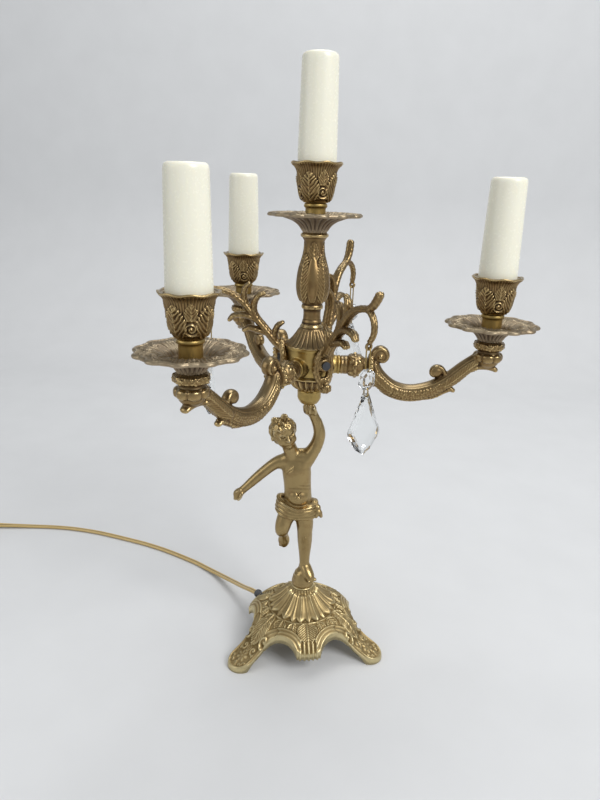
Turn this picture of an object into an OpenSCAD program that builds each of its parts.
// Three-armed table candelabrum lamp in cast brass: a child figure on a tripod base carries a hub
// with three scrolled arms, a centre light, three leaf branches with crystal drops, and a twin flex.

/* [Base] */
// Height of the base casting
base_h = 46; // [40:1:56]
// Radius from the axis to the foot tips
foot_reach = 69.5; // [62:0.5:80]
// Width of each tongue-shaped foot
foot_w = 21; // [16:0.5:26]
// Radius of the tabs between the feet
tab_reach = 46; // [43:0.5:52]
// Radius at the top of the arches
arch_top = 39; // [36:0.5:42]
// Half width of each arch
arch_half_w = 14.8; // [12:0.2:16]
// Wall of the base casting
base_wall = 3; // [2:0.25:4]
// Turn of the base against the arms
base_turn = 100; // [80:1:120]
// Height of the raised petals, leaves and borders on the base
base_relief_h = 1.1; // [0.6:0.1:1.4]
// Number of petals round the top of the base
base_petals = 12; // [8:1:14]
// Number of leaves round the base outside the petals
base_leaves = 18; // [12:1:20]
// Height of the turned mound on the base
mound_h = 5.5; // [4:0.5:9]

/* [Figure] */
// Height of the figure, from the mound to the top of the hand
figure_h = 155; // [130:1:180]
// Radius of the stud under the foot
stud_r = 4; // [3:0.25:5]
// Radius of the spigot on the raised hand
spigot_r = 4; // [3:0.25:4.5]
// Length of the spigot on the raised hand
spigot_l = 6; // [4:0.5:7]

/* [Hub and stem] */
// Height of the plain socket on the hand
socket_h = 10.5; // [9:0.5:14]
// Height of the fluted bowl
bowl_h = 9; // [7:0.5:12]
// Height of the hub drum
drum_h = 21; // [19:0.5:26]
// Radius of the hub drum at its top
drum_r = 17.3; // [16:0.1:20]
// Reach of the arm bosses from the axis
boss_reach = 21.5; // [20:0.5:25]
// Reach of the branch pads from the axis
pad_reach = 18; // [17.6:0.1:20]
// Half width of the six-sided hollow in the hub
hollow_r = 11; // [10:0.25:12]
// Height of the bell over the hub
bell_h = 18.5; // [14:0.5:24]
// Height of the baluster stem
stem_h = 62.5; // [50:0.5:80]
// Largest radius of the baluster stem
stem_r = 10.9; // [9:0.1:13]

/* [Arms] */
// Radius from the axis to each arm light
arm_reach = 126; // [110:1:145]
// Drop of the arm's bend below its root
arm_drop = 19; // [14:0.5:26]
// Rise of the arm's seat above its root
arm_rise = 21.5; // [18:0.5:30]
// Radius of the arm at its bend
arm_r = 6.1; // [5:0.1:7]
// Radius of the rings under the arm's seat
seat_ring_r = 10; // [8.5:0.25:12]

/* [Lights] */
// Radius of the threaded nipples and of the tie rod
nipple_r = 4.95; // [4:0.05:5.5]
// Clearance between a threaded piece and its hole
fit_gap = 0.2; // [0.1:0.05:0.35]
// Radius of the drip pans
pan_r = 32.4; // [26:0.2:40]
// Depth of the drip pans
pan_depth = 13; // [10:0.5:18]
// Thickness of the drip pan rims
pan_rim = 2.2; // [1.5:0.1:3.5]
// Height of the collars that carry the cups
collar_h = 16.3; // [13:0.1:22]
// Radius of the collars
collar_r = 7.6; // [7:0.1:8.5]
// Height of the candle cups
cup_h = 25.7; // [22:0.1:32]
// Width of the cup's lip outside the sleeve
cup_lip_w = 3.7; // [3:0.1:5]
// Wall of the candle cups
cup_wall = 1.8; // [1.4:0.1:2.4]
// Length of the candle sleeves
sleeve_l = 67; // [50:1:100]
// Radius of a sleeve at its foot
sleeve_foot_r = 13; // [12.6:0.1:14]
// Radius of a sleeve at its top
sleeve_top_r = 11.8; // [11:0.1:12.4]
// Wall of the candle sleeves
sleeve_wall = 1.1; // [0.8:0.1:1.5]
// Depth of the sleeve's foot in the cup
sleeve_seat = 3; // [2:0.25:5]
// Radius of the lamp thread in the lampholders
lamp_thread_r = 7; // [5.5:0.1:7.5]
// Depth of the lamp thread
lamp_thread_l = 27; // [20:1:32]

/* [Branches and crystals] */
// Radius from the axis to the crystal eyes
eye_reach = 74; // [66:0.5:84]
// Rise of the branch tips above their screws
branch_rise = 58; // [48:1:70]
// Upright lean of the rear branch
rear_lean = 25; // [0:1:30]
// Radius of the wire in the crystal links
wire_r = 0.45; // [0.3:0.05:0.55]
// Length of the long link, between the holes that it joins
link_l = 15.5; // [12:0.5:20]
// Length of the short link, between the holes that it joins
ring_l = 6; // [5.6:0.1:8]
// Height of the octagon bead
bead_h = 13; // [11:0.5:18]
// Height of the kite drop
drop_h = 41.5; // [28:0.5:48]
// Width of the kite drop
drop_w = 23.5; // [14:0.5:26]

/* [Flex and plug] */
// Width of the twin flex
flex_w = 5; // [4:0.25:6]
// Thickness of the twin flex
flex_t = 2.5; // [2:0.25:3]
// Radius of the grommet in the base
grommet_r = 3.1; // [2.9:0.1:3.6]
// Length of the plug's body
plug_l = 28; // [22:1:36]
// Thickness of the plug's body
plug_t = 17.2; // [14:0.2:17.6]
// Spacing of the plug's pins
pin_gap = 19; // [12:0.5:21]
// Radius of the plug's pins
pin_r = 2; // [1.6:0.1:2.4]
// Length of the plug's pins
pin_l = 19; // [15:0.5:22]

/* [Hidden] */
$fn = 64;
brass = "#9a7a3c";
dark_brass = "#7c5f2c";
pale_brass = "#ad9150";
steel = "#8d8f90";
ivory = "#e6e3cf";
glass = "#dfe9ec";
flex_gold = "#b89a5a";
black = "#26282a";

// Clearance between pieces that move past each other
slide_gap = 0.5;
// Radius of every hole for a nipple or the tie rod
nipple_hole = nipple_r + fit_gap;
// Wall of the hollow nipples and of the tie rod
nipple_wall = 1.4;

// Angles of the arms and of the branches about the axis
arm_turns = [240, 120, 0];
branch_turns = [300, 180, 60];
branch_leans = [0, 0, rear_lean];

// Levels up the axis
mound_z = base_h;
figure_z = mound_z + mound_h;
socket_z = figure_z + figure_h;
bowl_z = socket_z + socket_h;
drum_z = bowl_z + bowl_h;
bell_z = drum_z + drum_h;
stem_z = bell_z + bell_h;
centre_seat_z = stem_z + stem_h;
arm_z = drum_z + drum_h / 2;
arm_seat_z = arm_z + arm_rise;
branch_z = drum_z + drum_h * 0.67;

// Levels of a light above its seat
pan_floor = 3;
cup_level = pan_floor + collar_h;
cup_floor = 3.2;
seat_level = cup_level + cup_h - sleeve_seat;
nipple_top = cup_level + cup_floor + 8;
nipple_bottom = -11;

// Where the four lights stand: front, rear and right on the arms, and centre
function round_axis(turn, r, z) = [r * cos(turn), r * sin(turn), z];
light_at = concat(
    [for (turn = arm_turns) round_axis(turn, arm_reach, arm_seat_z)],
    [[0, 0, centre_seat_z]]
);

// Base profile from the top land to the foot tip, at the nominal reach and height
base_reach_nominal = 69.5;
base_height_nominal = 46;
base_slope = [
    [11, 46], [13, 43.6], [18, 38.6], [25, 33], [31, 30.2], [38, 26],
    [41.8, 22], [46.7, 15.9], [51.8, 11.4], [58, 7.6], [64, 4.9], [69.5, 3.2]
];
base_outer = [
    for (p = base_slope) [p.x * foot_reach / base_reach_nominal, p.y * base_h / base_height_nominal]
];
base_land = 5;
blank_reach = foot_reach + 3;
pad_start = foot_reach - 8.5;
base_inner = [
    for (i = [9:-1:2]) [base_outer[i].x - 0.62 * base_wall, base_outer[i].y - 0.78 * base_wall]
];
base_bore = stud_r + fit_gap;
washer_r = stud_r * 2.1;
washer_h = 1.5;
nut_h = 5;

// Raised ornament: its outlines at the nominal reach, half of each leaf about its own axis
plan_scale = foot_reach / base_reach_nominal;
petal_edge = [[14.2, 1.2], [19.4, 3.7], [23.2, 3.2], [25.4, 0.5]];
leaf_edge = [[28.4, 1], [32.2, 4.2], [35.4, 3.4], [37.4, 0.5]];
ring_inner = 26.1;
ring_outer = 27.3;
arch_turn = 31.3;
tongue_start = 20;
border_w = 2.4;
flute_w = 1.7;
flute_pitch = 3.4;
slope_normal = [0.62, 0.78];
relief_root = base_wall * 0.4;
foot_tip = [blank_reach, base_outer[len(base_outer) - 1].y];
base_raised = concat(
    [for (i = [1:len(base_outer) - 1]) base_outer[i] + base_relief_h * slope_normal],
    [foot_tip + [0, base_relief_h], foot_tip - [0, relief_root]]
);
base_rooted = [for (i = [len(base_outer) - 1:-1:1]) base_outer[i] - relief_root * slope_normal];

module base_plan() {
    difference() {
        circle(r = tab_reach);
        for (foot = [0:2], side = [-1, 1])
            rotate(foot * 120 + side * arch_turn) arch_plan(0, foot_reach);
    }
    for (foot = [0:2])
        rotate(foot * 120) tongue_plan(tongue_start, 0);
}

// An arch in plan, open outwards to a reach, grown by a border
module arch_plan(border, far) {
    arch_rise = 8;
    half_w = arch_half_w + border;
    polygon(concat(
        [[far, half_w]],
        [for (t = [0:15:180]) [arch_top - border + arch_rise * (1 - sin(t)), half_w * cos(t)]],
        [[far, -half_w]]
    ));
}

// A foot's tongue in plan from a start radius, drawn in by a rim
module tongue_plan(start, rim) {
    tip = foot_reach - foot_w / 2;
    half_w = foot_w / 2 - rim;
    translate([start, -half_w]) square([tip - start, 2 * half_w]);
    translate([tip, 0]) circle(r = half_w);
}

module leaf_plan(edge) {
    other = [for (i = [len(edge) - 1:-1:0]) [edge[i].x, -edge[i].y]];
    polygon(concat(edge, other) * plan_scale);
}

module ornament_plan() {
    for (k = [0:base_petals - 1])
        rotate(k * 360 / base_petals) leaf_plan(petal_edge);
    for (k = [0:base_leaves - 1])
        rotate(k * 360 / base_leaves) leaf_plan(leaf_edge);
    difference() {
        circle(r = ring_outer * plan_scale);
        circle(r = ring_inner * plan_scale);
    }
    for (foot = [0:2]) rotate(foot * 120) {
        difference() {
            tongue_plan(tab_reach + border_w, -border_w);
            tongue_plan(tab_reach, border_w);
        }
        for (side = [-1, 1])
            rotate(side * arch_turn) arch_plan(border_w, tab_reach);
        for (k = [-1:1])
            rotate(60) translate([arch_top, k * flute_pitch - flute_w / 2])
                square([tab_reach - arch_top + border_w, flute_w]);
    }
}

module base() {
    color(pale_brass) difference() {
        intersection() {
            union() {
                rotate_extrude() polygon(concat(
                    [[base_bore, base_h]],
                    base_outer,
                    [foot_tip, [blank_reach, 0], [pad_start, 0]],
                    base_inner,
                    [[base_outer[0].x, base_h - base_land], [base_bore, base_h - base_land]]
                ));
                intersection() {
                    rotate_extrude() polygon(concat(base_raised, base_rooted));
                    rotate(base_turn) linear_extrude(base_h) ornament_plan();
                }
            }
            rotate(base_turn) linear_extrude(base_h) base_plan();
        }
        along_grommet(-14) cylinder(r = grommet_r + fit_gap, h = 20);
    }
}

module base_mound() {
    color(pale_brass) translate([0, 0, mound_z]) rotate_extrude() polygon([
        [base_bore, 0], [10.6, 0], [10.6, 1.2], [9.2, 2.2], [8.9, mound_h - 1.6],
        [8.5, mound_h], [base_bore, mound_h]
    ]);
}

module base_washer() {
    color(steel) translate([0, 0, base_h - base_land - washer_h]) difference() {
        cylinder(r = washer_r, h = washer_h);
        translate([0, 0, -1]) cylinder(r = base_bore, h = washer_h + 2);
    }
}

module base_nut() {
    color(steel) translate([0, 0, base_h - base_land - washer_h - nut_h]) difference() {
        cylinder(r = stud_r * 1.85, h = nut_h, $fn = 6);
        translate([0, 0, -1]) cylinder(r = base_bore, h = nut_h + 2);
    }
}

// The figure's joints as places and radii, at its nominal height above the mound
figure_nominal = 155;
toe = [6.2, -8.5, 3.4, 2.4];
ball = [4.5, -5, 6.2, 3.2];
ankle = [0.6, 1, 14.5, 3.4];
calf = [-0.2, 2, 34.5, 4.7];
knee = [0.5, -1, 45.5, 4.6];
thigh = [-1, -0.5, 60.5, 6.2];
hip = [-3.5, 0, 69.5, 8];
far_hip = [-10, -1, 68.5, 7];
far_knee = [-18, -7, 46.5, 5];
far_ankle = [-17.5, 7, 35.5, 3.2];
far_toe = [-17, 11, 28.5, 2.4];
pelvis_left = [-10, 0, 71, 8.8];
pelvis_right = [-2, 0, 70, 8.8];
waist_left = [-9, 0, 84.5, 8.4];
waist_right = [-3, 0, 84.5, 8.4];
chest_left = [-13.5, -0.5, 100, 8];
chest_right = [-4, 0, 101.5, 8];
shoulder = [0, 0.5, 112.5, 5.5];
far_shoulder = [-18.5, 0, 107.5, 5];
throat = [-12, -1, 111.5, 4.8];
nape = [-14.5, -2, 120.5, 4.6];
skull = [-18.5, -2, 132.5, 10.6];
jaw = [-16.5, -5.5, 125.5, 7];
tuft_left = [-24.5, -3, 140.5, 3.4];
tuft_right = [-13.5, -3, 142.5, 3.2];
elbow = [11, 1, 132.5, 4.4];
wrist = [4, 0.5, 147.5, 3.5];
palm = [0.3, 0, 151, 5];
far_elbow = [-34, -2, 96, 3.9];
far_wrist = [-46, -5, 84.5, 3];
far_palm = [-51.5, -6.5, 79.8, 3.5];
wrap_left = [-19.5, -1, 68, 5];
wrap_right = [8, -0.5, 66, 5.2];
wrap_front = [-6, -8, 62.5, 4.6];
wrap_back = [-5, 7.5, 64, 4.6];
wrap_knot = [11.5, -3, 67.5, 3];
limbs = [
    [toe, ball], [ball, ankle], [ankle, calf], [calf, knee], [knee, thigh], [thigh, hip],
    [far_hip, far_knee], [far_knee, far_ankle], [far_ankle, far_toe],
    [pelvis_left, pelvis_right, waist_left, waist_right],
    [waist_left, waist_right, chest_left, chest_right],
    [chest_left, chest_right, shoulder, far_shoulder], [throat, nape], [nape, skull], [skull, jaw],
    [skull, tuft_left], [skull, tuft_right], [shoulder, elbow], [elbow, wrist], [wrist, palm],
    [far_shoulder, far_elbow], [far_elbow, far_wrist], [far_wrist, far_palm],
    [wrap_left, wrap_right, wrap_front, wrap_back], [wrap_right, wrap_knot]
];

module knob(place, sides) {
    translate([place.x, place.y, place.z]) sphere(r = place[3], $fn = sides);
}

module figure() {
    rock_h = 12;
    figure_scale = figure_h / figure_nominal;
    hand_r = 5.2;
    hand_h = 5;
    stud_end = base_h - base_land - washer_h - nut_h - 1.5;
    color(brass) {
        translate([0, 0, figure_z]) scale(figure_scale) {
            for (limb = limbs)
                hull() for (place = limb) knob(place, 14);
            cylinder(r1 = 8, r2 = 3.6, h = rock_h, $fn = 24);
        }
        translate([0, 0, socket_z - hand_h]) cylinder(r = hand_r, h = hand_h, $fn = 24);
        translate([0, 0, socket_z - hand_h]) cylinder(r = spigot_r, h = hand_h + spigot_l, $fn = 24);
        translate([0, 0, stud_end]) cylinder(r = stud_r, h = figure_z - stud_end + 1, $fn = 24);
    }
}

module hub_socket() {
    spigot_hole = spigot_r + fit_gap;
    spigot_top = spigot_l + 0.4;
    color(brass) translate([0, 0, socket_z]) rotate_extrude() polygon([
        [spigot_hole, 0], [6.2, 0], [8.1, 2.6], [8.6, 5.5], [8.6, socket_h - 1.4], [8.2, socket_h],
        [nipple_hole, socket_h], [nipple_hole, spigot_top], [spigot_hole, spigot_top]
    ]);
}

module hub_bowl() {
    color(dark_brass) translate([0, 0, bowl_z]) rotate_extrude() polygon([
        [nipple_hole, 0], [8, 0], [9.6, bowl_h * 0.2], [12.4, bowl_h * 0.5], [14, bowl_h * 0.82],
        [14.2, bowl_h], [nipple_hole, bowl_h]
    ]);
}

module hub_drum() {
    rotate_extrude() polygon([
        [0, 0], [drum_r - 2.6, 0], [drum_r - 2.6, 2], [drum_r - 1.6, 6], [drum_r - 1.6, 9],
        [drum_r - 2.4, 9.6], [drum_r - 1.2, 10.4], [drum_r, 15], [drum_r, drum_h], [0, drum_h]
    ]);
}

module hub_body() {
    boss_r = 6.4;
    branch_pad_r = 5;
    in_wall = hollow_r + 1.5;
    in_hollow = hollow_r - 2;
    color(brass) difference() {
        union() {
            translate([0, 0, drum_z]) hub_drum();
            for (turn = arm_turns)
                radial(turn, arm_z, in_wall) cylinder(r = boss_r, h = boss_reach - in_wall);
            for (turn = branch_turns)
                radial(turn, branch_z, in_wall) cylinder(r = branch_pad_r, h = pad_reach - in_wall);
        }
        translate([0, 0, drum_z - 1]) rotate([0, 0, 30])
            cylinder(r = hollow_r / cos(30), h = drum_h + 2, $fn = 6);
        for (turn = arm_turns)
            radial(turn, arm_z, in_hollow) cylinder(r = root_nipple_r + fit_gap, h = boss_reach);
        for (turn = branch_turns)
            radial(turn, branch_z, in_hollow) cylinder(r = screw_r + fit_gap, h = pad_reach);
    }
}

// Turns a piece that is drawn up the Z axis to point away from the lamp's axis
module radial(turn, z, start) {
    rotate([0, 0, turn]) translate([start, 0, z]) rotate([0, 90, 0]) children();
}

module hub_cover() {
    color(dark_brass) translate([0, 0, bell_z]) rotate_extrude() polygon([
        [nipple_hole, 0], [drum_r - 0.1, 0], [drum_r - 0.1, 1.6], [drum_r - 2.3, 3],
        [drum_r - 4.4, bell_h * 0.34], [drum_r - 7.3, bell_h * 0.58], [8.6, bell_h * 0.84],
        [7.3, bell_h], [nipple_hole, bell_h]
    ]);
}

module stem() {
    neck = 6.7;
    color(dark_brass) translate([0, 0, stem_z]) rotate_extrude() polygon([
        [nipple_hole, 0], [7.3, 0], [neck - 0.4, 5.5], [neck, 11], [7.3, 12.2], [7.3, 14.4],
        [neck, 15.6], [stem_r * 0.84, stem_h * 0.32], [stem_r, stem_h * 0.43],
        [stem_r * 0.93, stem_h * 0.58], [stem_r * 0.72, stem_h * 0.74], [neck, stem_h - 11],
        [neck, stem_h - 8.6], [9, stem_h - 4], [9, stem_h - 2.8], [8, stem_h], [nipple_hole, stem_h]
    ]);
}

module tube_piece(r, h) {
    difference() {
        cylinder(r = r, h = h);
        translate([0, 0, -1]) cylinder(r = r - nipple_wall, h = h + 2);
    }
}

module tie_rod() {
    start = socket_z + spigot_l + 0.8;
    color(steel) translate([0, 0, start]) tube_piece(nipple_r, centre_seat_z + nipple_top - start);
}

// Arm: a turned root, then an S-shaped tube to the rings under its seat
root_nipple_r = 3.9;
root_nipple_out = 10;
root_collar_l = 5;
root_block_l = 11.5;
root_disc_at = 20;
root_disc_l = 4;
tube_start = boss_reach + 23;
arm_curve = [
    [0, 0, 0.92], [0.06, -0.42, 0.97], [0.18, -0.84, 1], [0.34, -1, 1], [0.52, -0.84, 0.98],
    [0.68, -0.42, 0.9], [0.82, 0.1, 0.82], [0.93, 0.42, 0.78], [1, 0.62, 0.78]
];
arm_path = [
    for (c = arm_curve) [
        tube_start + (arm_reach - tube_start) * c.x,
        0,
        c.y < 0 ? c.y * arm_drop : c.y * arm_rise,
        arm_r * c.z
    ]
];

module scroll_drum(r, z, radius, width) {
    translate([r, width / 2, z]) rotate([90, 0, 0]) cylinder(r = radius, h = width, $fn = 18);
}

module arm(turn) {
    sides = 10;
    ring_h = 6;
    color(dark_brass) rotate([0, 0, turn]) translate([0, 0, arm_z]) difference() {
        union() {
            for (i = [1:len(arm_path) - 1])
                hull() {
                    knob(arm_path[i - 1], sides);
                    knob(arm_path[i], sides);
                }
            translate([boss_reach, 0, 0]) rotate([0, 90, 0]) {
                cylinder(r = 6.6, h = root_collar_l, $fn = 20);
                translate([0, 0, root_collar_l]) cylinder(r = 7.8, h = root_block_l, $fn = 20);
                translate([0, 0, root_collar_l]) cylinder(r = 5.6, h = root_disc_at, $fn = 20);
                translate([0, 0, root_disc_at]) cylinder(r = 9.4, h = root_disc_l, $fn = 20);
            }
            scroll_drum(tube_start + 4.5, 7.5, 6, 8);
            scroll_drum(tube_start + (arm_reach - tube_start) * 0.57, -arm_drop * 0.18, 4.5, 6);
            knob([tube_start + (arm_reach - tube_start) * 0.73, 0, -arm_drop * 0.78, 3.4], sides);
            knob([arm_reach + 2, 0, arm_rise - 2.4 * ring_h - 3.4, 5], sides);
            translate([arm_reach, 0, arm_rise - 2.4 * ring_h])
                cylinder(r = seat_ring_r * 0.72, h = 2.4 * ring_h, $fn = 24);
            for (level = [1, 2.4])
                translate([arm_reach, 0, arm_rise - level * ring_h])
                    cylinder(r = seat_ring_r, h = ring_h, $fn = 24);
        }
        translate([boss_reach - 1, 0, 0]) rotate([0, 90, 0])
            cylinder(r = root_nipple_r + 2 * fit_gap, h = root_nipple_out + 1.4, $fn = 32);
        translate([arm_reach, 0, arm_rise + nipple_bottom - 0.4])
            cylinder(r = nipple_r + 2 * fit_gap, h = 20, $fn = 32);
    }
}

module root_nipples() {
    inner_end = hollow_r - arm_nut_l - 0.6;
    color(steel) for (turn = arm_turns)
        radial(turn, arm_z, inner_end) tube_piece(root_nipple_r, boss_reach + root_nipple_out - inner_end);
}

arm_nut_l = 3;

module arm_nuts() {
    color(steel) for (turn = arm_turns)
        radial(turn, arm_z, hollow_r - arm_nut_l) difference() {
            cylinder(r = root_nipple_r * 1.42, h = arm_nut_l, $fn = 6);
            translate([0, 0, -1]) cylinder(r = root_nipple_r + fit_gap, h = arm_nut_l + 2);
        }
}

module arm_nipples() {
    color(steel) for (i = [0:2])
        translate(light_at[i] + [0, 0, nipple_bottom]) tube_piece(nipple_r, nipple_top - nipple_bottom);
}

// Drip pan: a shell that falls from its scalloped rim to a small flat seat
module pan(i) {
    lobes = 12;
    lobe_r = 5.2;
    flat_r = pan_r * 0.72;
    low_rim = pan_depth - pan_rim;
    color(dark_brass) translate(light_at[i]) intersection() {
        rotate_extrude() polygon([
            [nipple_hole, 0], [7.9, 0], [8.6, pan_depth * 0.15], [11, pan_depth * 0.4],
            [15, pan_depth * 0.62], [flat_r - 3, low_rim - 0.8], [flat_r, low_rim], [pan_r, low_rim],
            [pan_r, pan_depth], [pan_r - 1.2, pan_depth], [pan_r - 2.4, pan_depth - 0.6],
            [flat_r, pan_depth - 0.2], [flat_r - 3.6, pan_depth - 0.9], [15.2, pan_depth * 0.8],
            [12, pan_depth * 0.57], [10, pan_depth * 0.36], [collar_r + 1.2, pan_floor],
            [nipple_hole, pan_floor]
        ]);
        linear_extrude(pan_depth) {
            circle(r = pan_r - 1.4);
            for (lobe = [0:lobes - 1])
                rotate(lobe * 360 / lobes) translate([pan_r - lobe_r, 0]) circle(r = lobe_r);
        }
    }
}

module collar(i) {
    color(dark_brass) translate(light_at[i] + [0, 0, pan_floor]) rotate_extrude() polygon([
        [nipple_hole, 0], [collar_r, 0], [collar_r, 2], [collar_r - 0.7, 2.8],
        [collar_r - 0.7, collar_h - 3], [collar_r + 0.3, collar_h - 2.2], [collar_r + 0.3, collar_h - 0.8],
        [collar_r - 0.2, collar_h], [nipple_hole, collar_h]
    ]);
}

// Lampholder and cup sizes follow the sleeve that goes over one and into the other
holder_r = sleeve_top_r - sleeve_wall - slide_gap;
holder_neck_r = nipple_hole + 1.9;
holder_top = cup_h - sleeve_seat + sleeve_l - 1.9;
well_r = holder_r + slide_gap;
well_step = 10;
cup_r = well_r + cup_wall;
seat_r = sleeve_foot_r + 0.4;
lip_r = seat_r + cup_lip_w;

module cup(i) {
    color(dark_brass) translate(light_at[i] + [0, 0, cup_level]) rotate_extrude() polygon([
        [nipple_hole, 0], [8.5, 0], [9.8, 2.6], [cup_r - 0.9, 6.6], [cup_r, 11.6], [cup_r + 0.2, cup_h - 10],
        [cup_r + 1, cup_h - 6], [seat_r + 1.4, cup_h - 3.3], [lip_r - 0.1, cup_h - 1.2], [lip_r, cup_h],
        [seat_r + 1.9, cup_h], [seat_r, cup_h - 1.4], [seat_r, cup_h - sleeve_seat],
        [well_r, cup_h - sleeve_seat], [well_r, well_step + 0.8], [holder_neck_r + slide_gap, well_step - 0.6],
        [holder_neck_r + slide_gap, cup_floor], [nipple_hole, cup_floor]
    ]);
}

module lampholder(i) {
    color("#d8d4c6") translate(light_at[i] + [0, 0, cup_level]) rotate_extrude() polygon([
        [nipple_hole, cup_floor], [holder_neck_r, cup_floor], [holder_neck_r, well_step],
        [holder_r, well_step + 2.6], [holder_r, holder_top - 0.6], [holder_r - 0.6, holder_top],
        [lamp_thread_r, holder_top], [lamp_thread_r, holder_top - lamp_thread_l],
        [0, holder_top - lamp_thread_l], [0, nipple_top - cup_level + 1], [nipple_hole, nipple_top - cup_level + 1]
    ]);
}

module sleeve(i) {
    top_lip = 1.5;
    inner_top = sleeve_top_r - sleeve_wall;
    color(ivory) translate(light_at[i] + [0, 0, seat_level]) rotate_extrude() polygon([
        [sleeve_foot_r - sleeve_wall, 0], [sleeve_foot_r, 0], [sleeve_top_r, sleeve_l - 2.4],
        [sleeve_top_r - 0.5, sleeve_l - 0.7], [sleeve_top_r - 1.4, sleeve_l], [inner_top - 1.5, sleeve_l],
        [inner_top - 1.5, sleeve_l - top_lip], [inner_top, sleeve_l - top_lip]
    ]);
}

// Branch: a leafy scroll whose points are shares of the way out to the eye and up to the tip
screw_r = 1.5;
branch_root_r = 5.2;
branch_root_l = 4;
branch_out = eye_reach - pad_reach;
stem_curve = [
    [0.04, 0.02, 3], [0.1, 0.16, 2.9], [0.2, 0.32, 2.8], [0.36, 0.5, 2.7], [0.52, 0.68, 2.6],
    [0.68, 0.78, 2.4], [0.84, 0.82, 2.2]
];
horn_curve = [[0.84, 0.82, 2.2], [0.98, 0.86, 2.1], [1.06, 0.93, 2], [1.11, 1, 1.9]];
hook_curve = [[0.84, 0.82, 2.2], [0.96, 0.8, 1.8], [1.04, 0.71, 1.7], [1.05, 0.59, 1.6], [0.965, 0.475, 1.6]];
inner_leaf = [[0.36, 0.5, 2.4], [0.36, 0.64, 2], [0.31, 0.75, 1.5]];
outer_leaf = [[0.36, 0.5, 2.4], [0.54, 0.52, 2], [0.69, 0.54, 1.5]];
root_scroll = [[0.04, 0.02, 2.8], [0.03, -0.14, 2.6], [0.07, -0.24, 2.3], [0.16, -0.22, 2.1]];
branch_strands = [stem_curve, horn_curve, hook_curve, inner_leaf, outer_leaf, root_scroll];
eye_share = [1, 0.43];

// A branch point in its own upright plane, leaned back about its screw
function leaned(share, lean) = [
    pad_reach + branch_out * share.x * cos(lean) - branch_rise * share.y * sin(lean),
    branch_out * share.x * sin(lean) + branch_rise * share.y * cos(lean)
];
// The scroll strand below the screw stays upright against the hub
function branch_place(share, lean) =
    let (p = leaned(share, share.y < 0.1 ? 0 : lean))
    [p.x + branch_root_l / 2, 0, p.y, share[2]];
function eye_of(i) =
    let (p = leaned(eye_share, branch_leans[i]))
    [p.x, branch_z + p.y];

eye_r = 2.5;
eye_t = 2;
// The block that trims a branch flush with its pad
trim_d = 6;
trim_w = 20;
eye_hole = 2 * wire_r + 0.1;

module branch(i) {
    eye = eye_of(i);
    color(dark_brass) rotate([0, 0, branch_turns[i]]) difference() {
        union() {
            translate([0, 0, branch_z]) for (strand = branch_strands, k = [1:len(strand) - 1])
                hull() {
                    knob(branch_place(strand[k - 1], branch_leans[i]), 6);
                    knob(branch_place(strand[k], branch_leans[i]), 6);
                }
            translate([pad_reach, 0, branch_z]) rotate([0, 90, 0])
                cylinder(r = branch_root_r, h = branch_root_l, $fn = 20);
            translate([eye.x - eye_t / 2, 0, eye.y]) rotate([0, 90, 0])
                cylinder(r = eye_r, h = eye_t, $fn = 20);
        }
        translate([pad_reach - trim_d, -trim_w / 2, branch_z - branch_rise / 2])
            cube([trim_d, trim_w, branch_rise]);
        translate([0, 0, branch_z]) rotate([0, 90, 0])
            cylinder(r = screw_r + 0.3, h = branch_out + branch_root_l, $fn = 16);
        translate([pad_reach + branch_root_l, 0, branch_z]) rotate([0, 90, 0])
            cylinder(r = screw_head_r + 0.4, h = branch_out / 2, $fn = 20);
        translate([eye.x - eye_t, 0, eye.y]) rotate([0, 90, 0]) cylinder(r = eye_hole, h = 2 * eye_t, $fn = 16);
    }
}

screw_head_r = 3.1;

module branch_screws() {
    screw_head_h = 1.8;
    screw_l = 9;
    color(steel) for (turn = branch_turns)
        radial(turn, branch_z, pad_reach + branch_root_l - screw_l) {
            cylinder(r = screw_r, h = screw_l);
            translate([0, 0, screw_l]) cylinder(r = screw_head_r, h = screw_head_h);
        }
}

// Crystal chain levels below a branch's eye
hole_inset = 1.5;
crystal_edge = 1.6;
bead_top_hole = -link_l;
bead_mid = bead_top_hole + hole_inset - bead_h / 2;
bead_low_hole = bead_top_hole - bead_h + 2 * hole_inset;
drop_hole = bead_low_hole - ring_l;
drop_top = drop_hole + hole_inset + 0.5;

module at_eye(i, z) {
    eye = eye_of(i);
    rotate([0, 0, branch_turns[i]]) translate([eye.x, 0, eye.y + z]) children();
}

// A closed wire loop in the upright plane, between a hole at the top and one a length below
module wire_loop(length) {
    bend = 2.2;
    rotate([90, 0, 0]) {
        translate([0, -bend, 0]) rotate_extrude(angle = 180) translate([bend, 0]) circle(r = wire_r);
        translate([0, bend - length, 0]) rotate([0, 0, 180])
            rotate_extrude(angle = 180) translate([bend, 0]) circle(r = wire_r);
        for (side = [-1, 1])
            translate([side * bend, bend - length, 0]) rotate([-90, 0, 0])
                cylinder(r = wire_r, h = length - 2 * bend);
    }
}

module long_link(i) {
    color(brass) at_eye(i, 0) wire_loop(link_l);
}

module short_ring(i) {
    color(brass) at_eye(i, bead_low_hole) wire_loop(ring_l);
}

// A cut crystal: a thin girdle outline with a raised table on both faces
module cut_crystal(table_share, table_t) {
    rotate([90, 0, 90]) hull() {
        translate([0, 0, -crystal_edge / 2]) linear_extrude(crystal_edge) children();
        translate([0, 0, -table_t / 2]) linear_extrude(table_t) scale(table_share) children();
    }
}

module crystal_hole(z) {
    translate([-5, 0, z]) rotate([0, 90, 0]) cylinder(r = eye_hole, h = 10);
}

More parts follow.
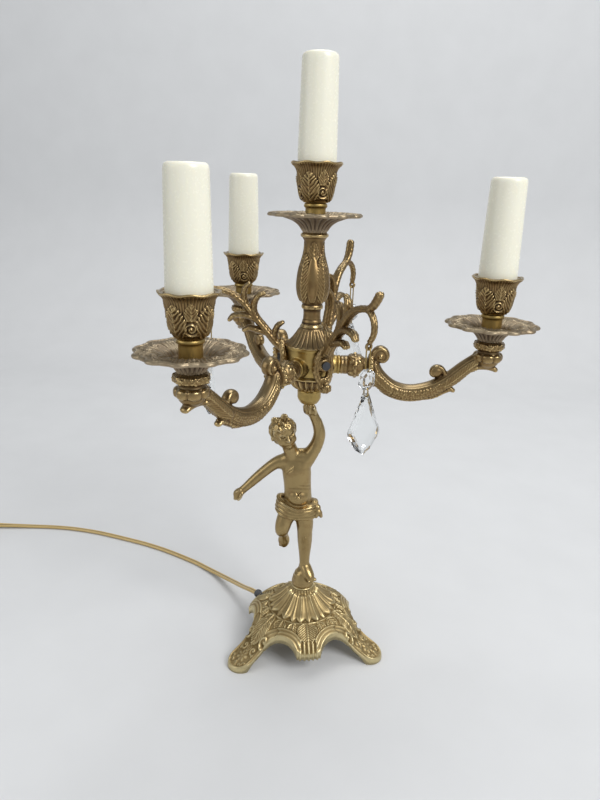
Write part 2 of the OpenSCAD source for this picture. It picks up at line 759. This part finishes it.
module bead(i) {
    bead_w = 11;
    cut = 3;
    color(glass) at_eye(i, bead_mid) difference() {
        cut_crystal(0.55, 5.5) polygon([
            [-bead_w / 2, cut - bead_h / 2], [cut - bead_w / 2, -bead_h / 2], [bead_w / 2 - cut, -bead_h / 2],
            [bead_w / 2, cut - bead_h / 2], [bead_w / 2, bead_h / 2 - cut], [bead_w / 2 - cut, bead_h / 2],
            [cut - bead_w / 2, bead_h / 2], [-bead_w / 2, bead_h / 2 - cut]
        ]);
        crystal_hole(bead_h / 2 - hole_inset);
        crystal_hole(hole_inset - bead_h / 2);
    }
}

module drop(i) {
    half_w = drop_w / 2;
    belly = drop_h * 0.1;
    color(glass) at_eye(i, drop_top - drop_h * 0.55) difference() {
        cut_crystal(0.6, 7) polygon([
            [-1.9, drop_h * 0.55], [-half_w, -belly * 0.6], [-half_w * 0.9, -belly * 1.6],
            [-half_w * 0.45, -drop_h * 0.36], [0, -drop_h * 0.45], [half_w * 0.45, -drop_h * 0.36],
            [half_w * 0.9, -belly * 1.6], [half_w, -belly * 0.6], [1.9, drop_h * 0.55]
        ]);
        crystal_hole(drop_h * 0.55 + drop_hole - drop_top);
    }
}

// Flex route from the grommet's outer face along the table to the coil
flex_route = [
    [-40.5, 24.5, 22.4], [-43.75, 28, 21.4], [-47, 31.5, 20.4], [-54.5, 41.5, 16], [-63.5, 54, 11.2], [-75, 68, 6.5],
    [-87, 80.5, 3.2], [-99, 90.5, 1.8], [-111, 99, 1.5], [-139, 114.5, 1.5], [-162, 125, 1.5],
    [-186, 133.5, 1.5], [-222, 144.5, 1.5], [-251, 150, 1.5], [-275, 151.5, 1.5], [-300, 150.5, 1.8],
    [-325, 148, 2.8], [-346, 146, 3.3], [-360, 145.3, 3.4], [-366, 145.3, 3.4], [-372, 145.3, 3.4]
];
// The last points of the route, where the flex turns on its edge for the coil
twist_points = 5;
route_last = len(flex_route) - 1;

function unit(v) = v / norm(v);
function grommet_axis() = unit(flex_route[1] - flex_route[0]);

module along_grommet(start) {
    way = grommet_axis();
    translate(flex_route[0]) rotate([0, acos(way.z), atan2(way.y, way.x)]) translate([0, 0, start]) children();
}

module grommet() {
    color(black) along_grommet(-11) cylinder(r = grommet_r, h = 11);
}

// A smooth curve through the route: Catmull-Rom between its points
function route_at(i) = flex_route[max(0, min(route_last, i))];
function curve_point(i, t) =
    let (a = route_at(i - 1), b = route_at(i), c = route_at(i + 1), d = route_at(i + 2))
    0.5 * (2 * b + (c - a) * t + (2 * a - 5 * b + 4 * c - d) * t * t + (3 * b - a - 3 * c + d) * t * t * t);
run_steps = 3;
run_path = concat(
    [for (i = [0:route_last - 1], s = [0:run_steps - 1]) curve_point(i, s / run_steps)],
    [flex_route[route_last]]
);
run_roll = [
    for (k = [0:len(run_path) - 1])
        90 * max(0, min(1, (k / run_steps - (route_last - twist_points)) / (twist_points - 1)))
];

// One flat tube along a path, its section rolled about the way it goes
function way_at(path, k) =
    k == 0 ? unit(path[1] - path[0])
    : k == len(path) - 1 ? unit(path[k] - path[k - 1])
    : unit(path[k + 1] - path[k - 1]);
function flex_ring(path, k, roll, sides, turn) =
    let (
        way = way_at(path, k),
        side = unit(cross(way, [0, 0, 1])),
        up = cross(side, way),
        wide = side * cos(roll) + up * sin(roll),
        thin = up * cos(roll) - side * sin(roll)
    )
    [
        for (s = [0:sides - 1])
            path[k] + wide * flex_w / 2 * cos(turn + s * 360 / sides)
                + thin * flex_t / 2 * sin(turn + s * 360 / sides) / sin(90 - 180 / sides)
    ];

module flat_tube(path, rolls, sides, turn) {
    last = len(path) - 1;
    points = [for (k = [0:last]) each flex_ring(path, k, rolls[k], sides, turn)];
    walls = [
        for (k = [0:last - 1], s = [0:sides - 1])
            let (a = k * sides + s, b = k * sides + (s + 1) % sides)
            each [[a, b, a + sides], [b, b + sides, a + sides]]
    ];
    first_end = [for (s = [1:sides - 2]) [0, s + 1, s]];
    end = last * sides;
    last_end = [for (s = [1:sides - 2]) [end, end + s, end + s + 1]];
    polyhedron(points = points, faces = concat(walls, first_end, last_end));
}

module cord_run() {
    color(flex_gold) flat_tube(run_path, run_roll, 8, 0);
}

// Coil: on edge in two layers, spiralling in below, climbing as it turns back, and out above
coil_centre = [-372, 110];
coil_start_r = 35.3;
coil_pitch = flex_t + 0.65;
coil_lift = flex_w + 0.6;
layer_turns = 3.375;
climb_turns = 0.5;
coil_turns = 2 * layer_turns + climb_turns;
coil_rings = 24;
coil_tail = 24;
coil_z = flex_route[route_last].z;
function coil_r(t) = coil_start_r - coil_pitch * min(t, coil_turns - t);
function coil_height(t) = coil_z + coil_lift * max(0, min(1, (t - layer_turns) / climb_turns));
function coil_point(t) = [
    coil_centre.x + coil_r(t) * cos(90 + 360 * t),
    coil_centre.y + coil_r(t) * sin(90 + 360 * t),
    coil_height(t)
];
coil_wound = [for (k = [1:coil_turns * coil_rings]) coil_point(k / coil_rings)];
coil_end = coil_wound[len(coil_wound) - 1];
coil_path = concat(
    [flex_route[route_last], flex_route[route_last] - [flex_w, 0, 0]],
    [for (p = coil_wound) if (norm(p - flex_route[route_last]) > 2 * flex_w) p],
    [coil_end - [0, coil_tail / 2, 0], coil_end - [0, coil_tail, 0]]
);
coil_roll = [for (p = coil_path) 90];

// Least gap between turns, on the path's points, less the six-sided section's size in that direction
function turn_gap(a, b) =
    let (
        across = norm([a.x - b.x, a.y - b.y]),
        above = abs(a.z - b.z),
        sections = max(across / flex_t, above / flex_w + across / (2 * flex_t))
    )
    norm([across, above]) * (1 - 1 / sections);
least_gap = min([
    for (i = [0:len(coil_path) - 1], j = [i + 8:len(coil_path) - 1]) turn_gap(coil_path[i], coil_path[j])
]);
echo(least_gap_between_coil_turns = least_gap);

module cord_coil() {
    color(flex_gold) flat_tube(coil_path, coil_roll, 6, 0);
}

module cord_tie() {
    tie_t = 0.5;
    tie_w = 6;
    tie_gap = 0.3;
    inner_r = coil_r(coil_turns / 2) - flex_t / 2 - tie_gap;
    outer_r = coil_start_r + flex_t / 2 + tie_gap;
    low = coil_z - flex_w / 2 - tie_gap;
    high = coil_z + coil_lift + flex_w / 2 + tie_gap;
    color(black) translate([coil_centre.x, coil_centre.y, 0]) rotate([0, 0, 270]) difference() {
        translate([inner_r - tie_t, -tie_w / 2, low - tie_t])
            cube([outer_r - inner_r + 2 * tie_t, tie_w, high - low + 2 * tie_t]);
        translate([inner_r, -tie_w, low]) cube([outer_r - inner_r, 2 * tie_w, high - low]);
    }
}

// Plug: a plain two-pin body that lies on the table beside the coil
plug_neck_l = 8;
plug_at = coil_path[len(coil_path) - 1];

module along_plug(start) {
    translate(plug_at - [0, start, 0]) rotate([90, 0, 0]) children();
}

module plug() {
    half_gap = pin_gap / 2 - 4.2;
    color(black) {
        along_plug(0) cylinder(r1 = flex_w / 2 + 0.8, r2 = plug_t / 2 - 0.6, h = plug_neck_l);
        along_plug(plug_neck_l) linear_extrude(plug_l) {
            square([2 * half_gap, plug_t], center = true);
            for (side = [-1, 1])
                translate([side * half_gap, 0]) circle(d = plug_t);
        }
    }
}

module plug_pins() {
    color(brass) for (side = [-1, 1])
        along_plug(plug_neck_l + plug_l) translate([side * pin_gap / 2, 0, 0]) cylinder(r = pin_r, h = pin_l);
}

base();
base_mound();
base_washer();
base_nut();
figure();
hub_socket();
hub_bowl();
hub_body();
hub_cover();
stem();
tie_rod();
arm(arm_turns[0]);  // arm_front
arm(arm_turns[1]);  // arm_rear
arm(arm_turns[2]);  // arm_right
root_nipples();
arm_nuts();
arm_nipples();
pan(0);  // pan_front
pan(1);  // pan_rear
pan(2);  // pan_right
pan(3);  // pan_centre
collar(0);  // collar_front
collar(1);  // collar_rear
collar(2);  // collar_right
collar(3);  // collar_centre
cup(0);  // cup_front
cup(1);  // cup_rear
cup(2);  // cup_right
cup(3);  // cup_centre
lampholder(0);  // lampholder_front
lampholder(1);  // lampholder_rear
lampholder(2);  // lampholder_right
lampholder(3);  // lampholder_centre
sleeve(0);  // sleeve_front
sleeve(1);  // sleeve_rear
sleeve(2);  // sleeve_right
sleeve(3);  // sleeve_centre
branch(0);  // branch_front
branch(1);  // branch_left
branch(2);  // branch_rear
branch_screws();
long_link(0);  // long_link_front
long_link(1);  // long_link_left
long_link(2);  // long_link_rear
bead(0);  // bead_front
bead(1);  // bead_left
bead(2);  // bead_rear
short_ring(0);  // short_ring_front
short_ring(1);  // short_ring_left
short_ring(2);  // short_ring_rear
drop(0);  // drop_front
drop(1);  // drop_left
drop(2);  // drop_rear
grommet();
cord_run();
cord_coil();
cord_tie();
plug();
plug_pins();
